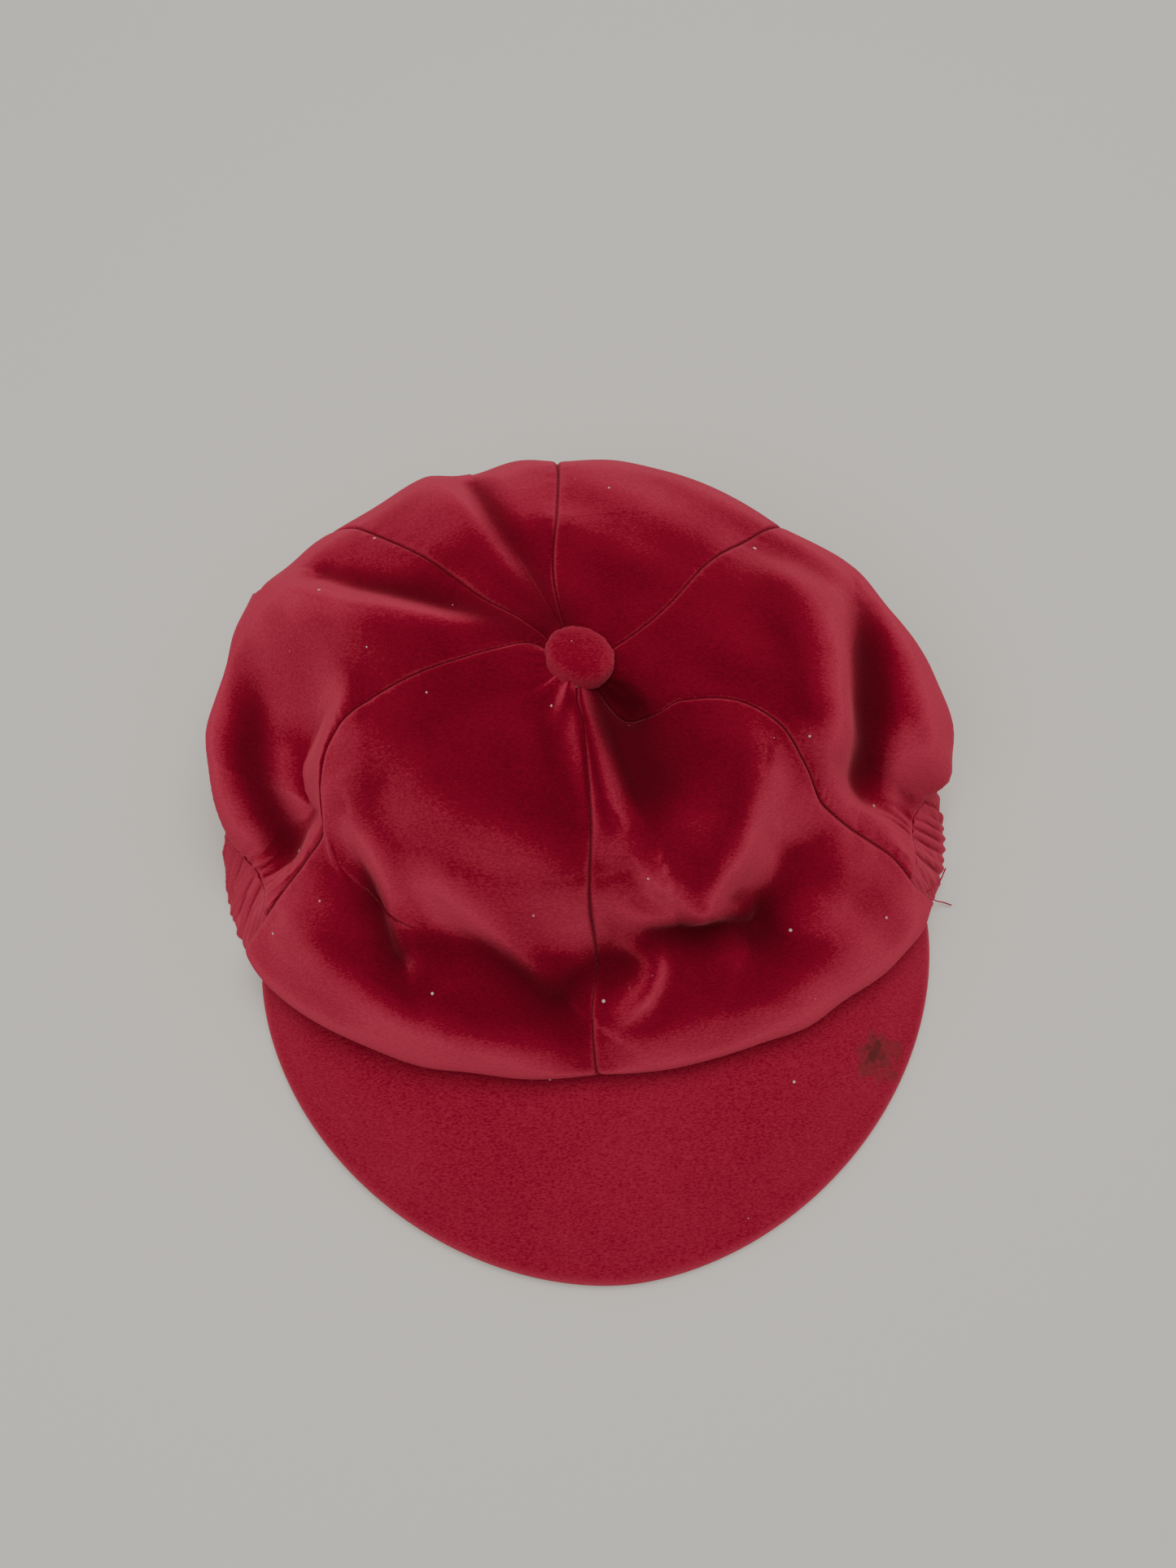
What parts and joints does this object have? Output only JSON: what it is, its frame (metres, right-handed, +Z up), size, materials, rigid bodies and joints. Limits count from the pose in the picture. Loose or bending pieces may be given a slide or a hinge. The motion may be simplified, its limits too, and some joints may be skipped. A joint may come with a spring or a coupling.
{
  "type": "baker boy cap",
  "caption": "Soft six-panel velvet baker boy cap with a covered button, a stiffened peak, and a gathered elasticated band round the back.",
  "frame": {"origin": "middle of the bounding box, on the surface that the cap lies on", "axes": "+Z up, the peak points along -Y, the wearer's left is +X"},
  "size_m": [0.2308, 0.2368, 0.0815],
  "materials": {
    "velvet": "crimson velvet pile",
    "lining_satin": "smooth satin weave, dark red",
    "stay_canvas": "stiff plain canvas",
    "peak_plastic": "matte polyethylene sheet",
    "button_metal": "pressed and tinned",
    "elastic_webbing": "braided elastic",
    "sweatband_cotton": "cotton twill, dark red",
    "label_tape": "blank woven tape"
  },
  "bodies": {
    "root": {"crown_panel_front_left": "velvet", "crown_panel_side_left": "velvet", "crown_panel_back_left": "velvet", "crown_panel_back_right": "velvet", "crown_panel_side_right": "velvet", "crown_panel_front_right": "velvet", "button_cover": "velvet", "peak_top_cover": "velvet", "peak_under_cover": "velvet", "band_casing": "velvet", "lining_panel_front_left": "lining_satin", "lining_panel_side_left": "lining_satin", "lining_panel_back_left": "lining_satin", "lining_panel_back_right": "lining_satin", "lining_panel_side_right": "lining_satin", "lining_panel_front_right": "lining_satin", "stay_front_left": "stay_canvas", "stay_front_right": "stay_canvas", "peak_board": "peak_plastic", "button_shell": "button_metal", "button_plate": "button_metal", "button_rivet": "button_metal", "button_washer": "button_metal", "elastic_strip": "elastic_webbing", "sweatband": "sweatband_cotton", "care_label": "label_tape"}
  },
  "joints": []
}
